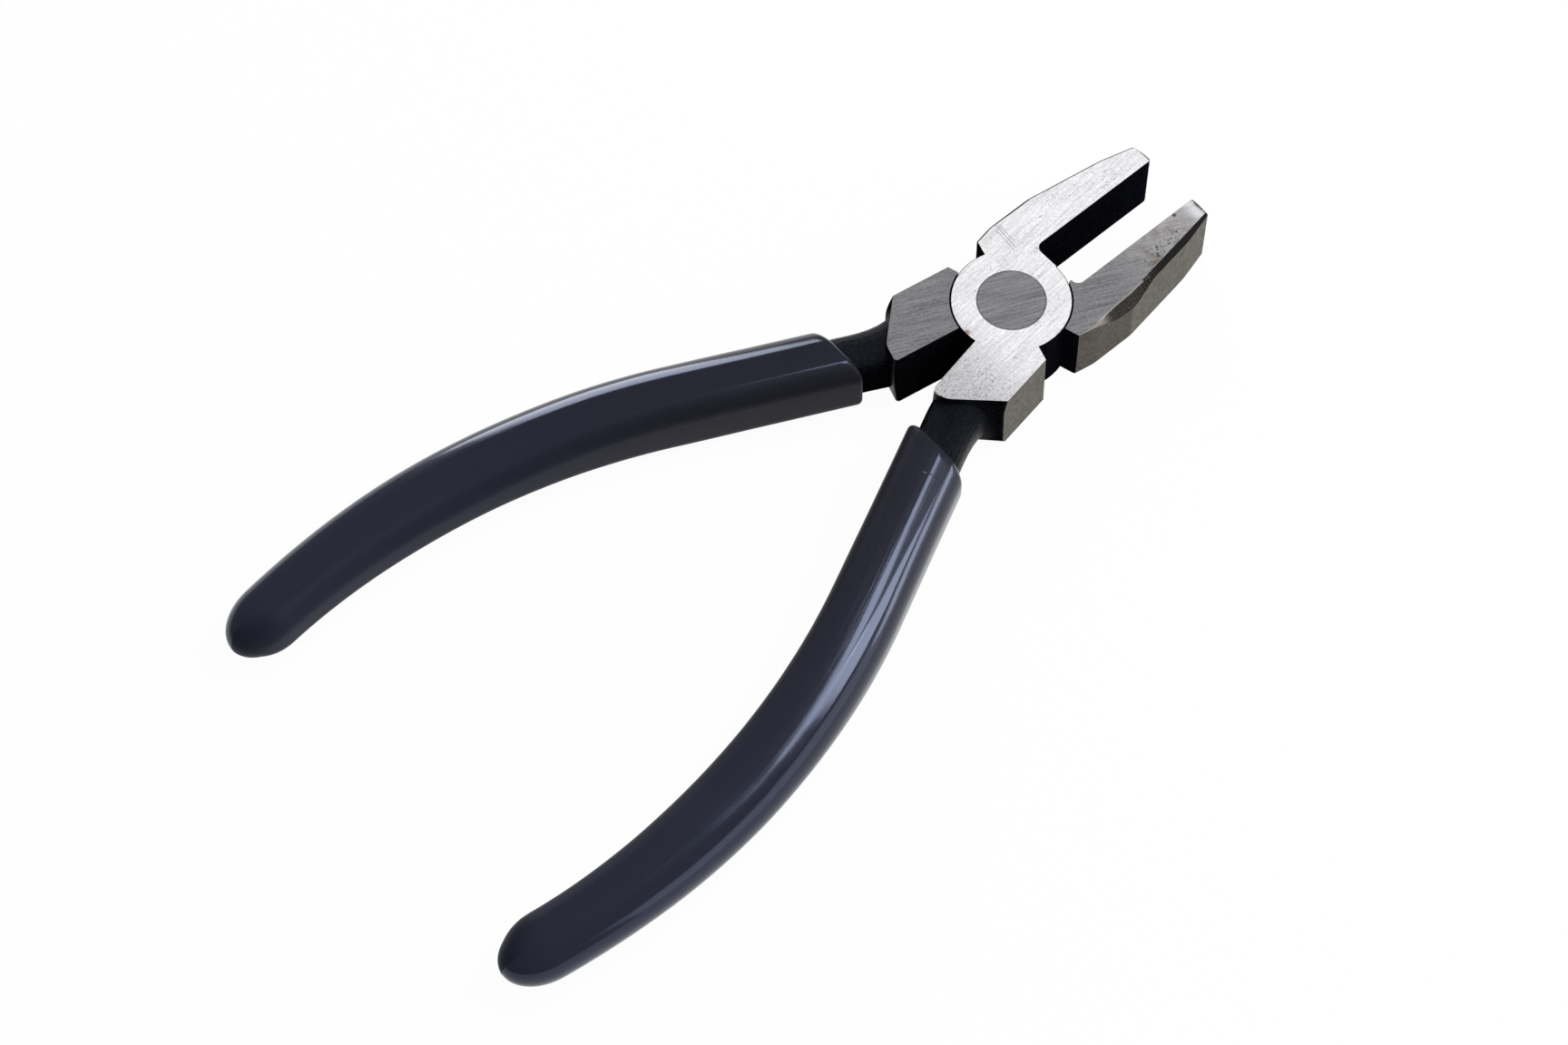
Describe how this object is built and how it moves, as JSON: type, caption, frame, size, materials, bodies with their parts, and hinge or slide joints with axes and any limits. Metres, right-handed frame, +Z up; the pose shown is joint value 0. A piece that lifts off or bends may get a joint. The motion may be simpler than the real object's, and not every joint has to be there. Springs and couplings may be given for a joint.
{
  "type": "glass breaking pliers",
  "caption": "Glass breaking pliers with parallel flat jaws, a round lap joint on a flush rivet, black and ground forged steel, and dark dipped grips on bowed handles",
  "frame": {"origin": "on the axis of the joint rivet, on the flat underside of the head", "axes": "+X along the centre line towards the jaw tips, +Y towards the front half's jaw, +Z up along the rivet, the way the front half's eye faces"},
  "size_m": [0.1487, 0.075, 0.0103],
  "materials": {
    "forged_steel": "forged steel, blackened, with the faces and flanks of the head ground bright",
    "rivet_steel": "steel ground flush with the head on both sides",
    "dipped_grip": "smooth dipped coating with a soft gloss, dark slate blue"
  },
  "bodies": {
    "front": {"front_half": "forged_steel", "joint_rivet": "rivet_steel", "front_half_grip": "dipped_grip"},
    "back": {"back_half": "forged_steel", "back_half_grip": "dipped_grip"}
  },
  "joints": [
    {"name": "jaw_pivot", "type": "hinge", "parent": "front", "child": "back", "pos_m": [0, 0, 0], "axis": [0, 0, 1], "range_deg": [-30, 15.9]}
  ]
}
